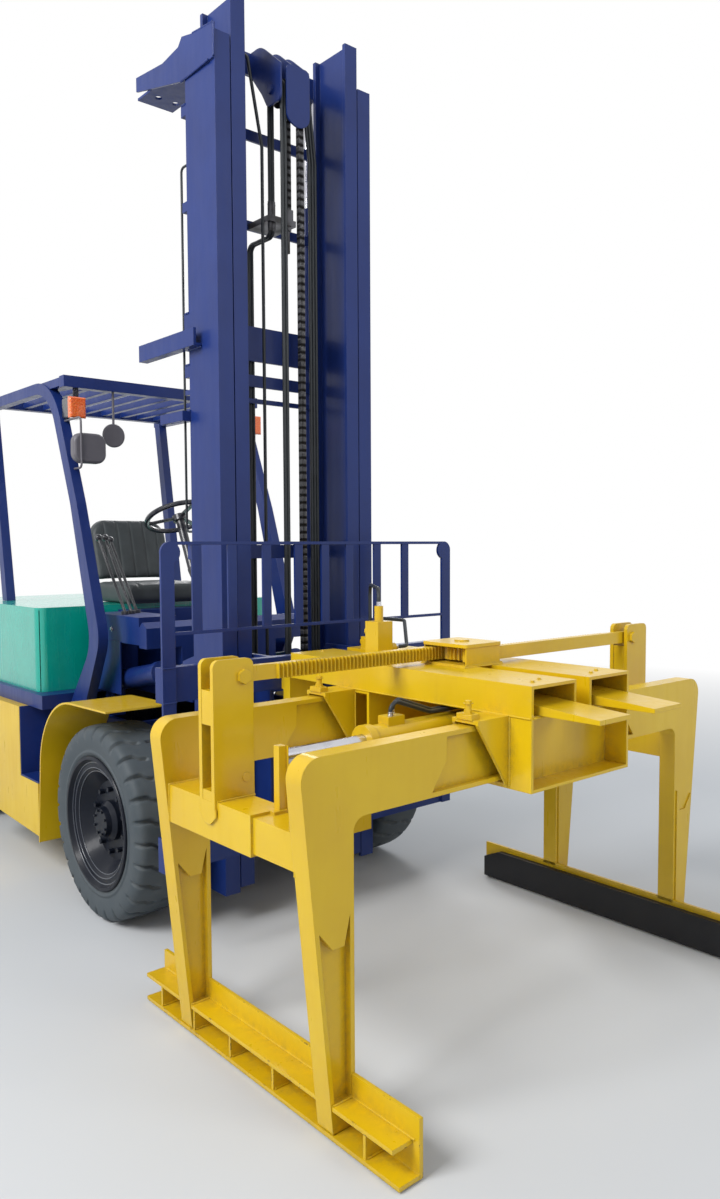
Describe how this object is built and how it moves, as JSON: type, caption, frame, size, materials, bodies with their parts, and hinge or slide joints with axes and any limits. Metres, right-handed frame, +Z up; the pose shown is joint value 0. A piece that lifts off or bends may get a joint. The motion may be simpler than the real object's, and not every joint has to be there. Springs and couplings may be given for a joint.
{
  "type": "clamp forklift",
  "caption": "Counterbalanced forklift with a tall mast and a rack-and-pinion block clamp carried on its forks, whose arms slide in and out over long padded feet.",
  "frame": {"origin": "on the floor, at the middle of the footprint (bounding box's bottom centre)", "axes": "+X to the truck's left, +Y to its rear (it faces -Y), +Z up"},
  "size_m": [2.0434, 4.62, 3.72],
  "materials": {
    "yellow_paint": "gloss enamel, brush painted",
    "blue_paint": "semi-gloss enamel",
    "green_paint": "gloss enamel",
    "steel": "oiled",
    "tyre": "matt",
    "rubber": "matt",
    "black_paint": "satin",
    "seat_cover": "worn vinyl",
    "lamp_lens": "moulded lens",
    "mirror_back": "moulded back"
  },
  "bodies": {
    "chassis": {"chassis_frame": "blue_paint", "side_tanks": "yellow_paint", "step_ledges": "blue_paint", "fenders": "yellow_paint", "counterweight": "green_paint", "hood": "green_paint", "engine_block": "black_paint", "cowl": "blue_paint", "overhead_guard": "blue_paint", "seat": "seat_cover", "driver_controls": "black_paint", "turn_lamps": "lamp_lens", "mirrors": "mirror_back", "front_axle": "black_paint", "rear_axle": "black_paint"},
    "mast_outer": {"outer_mast": "blue_paint", "lift_barrels": "blue_paint", "chain_anchors": "steel", "rear_chains": "steel", "hose_strands_rear": "rubber", "mast_pipes": "rubber"},
    "mast_inner": {"inner_mast": "blue_paint", "sheaves": "steel", "lift_rods": "steel", "front_chains": "steel", "mast_hoses": "rubber", "chain_turn": "steel", "hose_strands_front": "rubber"},
    "carriage_body": {"carriage": "blue_paint", "backrest": "blue_paint", "forks": "yellow_paint", "clamp_frame": "yellow_paint", "gearbox": "yellow_paint", "valve_block": "yellow_paint", "clamp_barrels": "yellow_paint", "clamp_hoses": "rubber"},
    "pinion_body": {"pinion": "yellow_paint"},
    "front_wheel_right": {"front_tyre_right": "tyre", "front_rim_right": "black_paint"},
    "knuckle_body_right": {"knuckle_right": "black_paint"},
    "rear_wheel_right": {"rear_tyre_right": "tyre", "rear_rim_right": "black_paint"},
    "tilt_barrel_body_right": {"tilt_barrel_right": "blue_paint"},
    "tilt_rod_body_right": {"tilt_rod_right": "steel"},
    "clamp_right": {"arms_right": "yellow_paint", "foot_right": "yellow_paint", "pad_right": "rubber", "rack_right": "yellow_paint"},
    "front_wheel_left": {"front_tyre_left": "tyre", "front_rim_left": "black_paint"},
    "knuckle_body_left": {"knuckle_left": "black_paint"},
    "rear_wheel_left": {"rear_tyre_left": "tyre", "rear_rim_left": "black_paint"},
    "tilt_barrel_body_left": {"tilt_barrel_left": "blue_paint"},
    "tilt_rod_body_left": {"tilt_rod_left": "steel"},
    "clamp_left": {"arms_left": "yellow_paint", "foot_left": "yellow_paint", "pad_left": "rubber", "rack_left": "yellow_paint"}
  },
  "joints": [
    {"name": "front_wheel_right_spin", "type": "hinge", "parent": "chassis", "child": "front_wheel_right", "pos_m": [-0.638, -0.23, 0.407], "axis": [1, 0, 0], "continuous": true},
    {"name": "steer_right", "type": "hinge", "parent": "chassis", "child": "knuckle_body_right", "pos_m": [-0.42, 1.77, 0.338], "axis": [0, 0, 1], "range_deg": [-60, 60]},
    {"name": "rear_wheel_right_spin", "type": "hinge", "parent": "knuckle_body_right", "child": "rear_wheel_right", "pos_m": [-0.565, 1.77, 0.338], "axis": [1, 0, 0], "continuous": true},
    {"name": "front_wheel_left_spin", "type": "hinge", "parent": "chassis", "child": "front_wheel_left", "pos_m": [0.638, -0.23, 0.407], "axis": [1, 0, 0], "continuous": true},
    {"name": "steer_left", "type": "hinge", "parent": "chassis", "child": "knuckle_body_left", "pos_m": [0.42, 1.77, 0.338], "axis": [0, 0, 1], "range_deg": [-60, 60]},
    {"name": "rear_wheel_left_spin", "type": "hinge", "parent": "knuckle_body_left", "child": "rear_wheel_left", "pos_m": [0.565, 1.77, 0.338], "axis": [1, 0, 0], "continuous": true},
    {"name": "mast_tilt", "type": "hinge", "parent": "chassis", "child": "mast_outer", "pos_m": [0, -0.23, 0.407], "axis": [1, 0, 0], "range_deg": [-10, 6]},
    {"name": "tilt_barrel_right_swing", "type": "hinge", "parent": "chassis", "child": "tilt_barrel_body_right", "pos_m": [-0.375, 0.35, 0.905], "axis": [1, 0, 0], "range_deg": [-8, 6]},
    {"name": "tilt_rod_right_stroke", "type": "slide", "parent": "tilt_barrel_body_right", "child": "tilt_rod_body_right", "axis": [0, -0.9841, 0.1777], "range_m": [-0.13, 0.08]},
    {"name": "tilt_barrel_left_swing", "type": "hinge", "parent": "chassis", "child": "tilt_barrel_body_left", "pos_m": [0.375, 0.35, 0.905], "axis": [1, 0, 0], "range_deg": [-8, 6]},
    {"name": "tilt_rod_left_stroke", "type": "slide", "parent": "tilt_barrel_body_left", "child": "tilt_rod_body_left", "axis": [0, -0.9841, 0.1777], "range_m": [-0.13, 0.08]},
    {"name": "inner_mast_lift", "type": "slide", "parent": "mast_outer", "child": "mast_inner", "axis": [0, 0, 1], "range_m": [0, 2.4], "deforming": ["rear_chains", "hose_strands_rear"]},
    {"name": "carriage_lift", "type": "slide", "parent": "mast_inner", "child": "carriage_body", "axis": [0, 0, 1], "range_m": [0, 2.4], "deforming": ["front_chains", "hose_strands_front"]},
    {"name": "clamp_right_slide", "type": "slide", "parent": "carriage_body", "child": "clamp_right", "axis": [1, 0, 0], "range_m": [0, 0.25]},
    {"name": "clamp_left_slide", "type": "slide", "parent": "carriage_body", "child": "clamp_left", "axis": [1, 0, 0], "range_m": [-0.25, 0]},
    {"name": "pinion_turn", "type": "hinge", "parent": "carriage_body", "child": "pinion_body", "pos_m": [0, -1.589, 1.175], "axis": [0, 0, 1], "range_deg": [-265, 0]}
  ],
  "couplings": [
    {"joint": "steer_left", "follows": "steer_right", "ratio": 1},
    {"joint": "tilt_barrel_right_swing", "follows": "mast_tilt", "ratio": 0.3325},
    {"joint": "tilt_barrel_left_swing", "follows": "mast_tilt", "ratio": 0.3325},
    {"joint": "tilt_rod_right_stroke", "follows": "mast_tilt", "m_per_rad": 0.6},
    {"joint": "tilt_rod_left_stroke", "follows": "mast_tilt", "m_per_rad": 0.6},
    {"joint": "carriage_lift", "follows": "inner_mast_lift", "ratio": 1},
    {"joint": "clamp_left_slide", "follows": "clamp_right_slide", "ratio": -1},
    {"joint": "pinion_turn", "follows": "clamp_right_slide", "rad_per_m": -18.182}
  ]
}
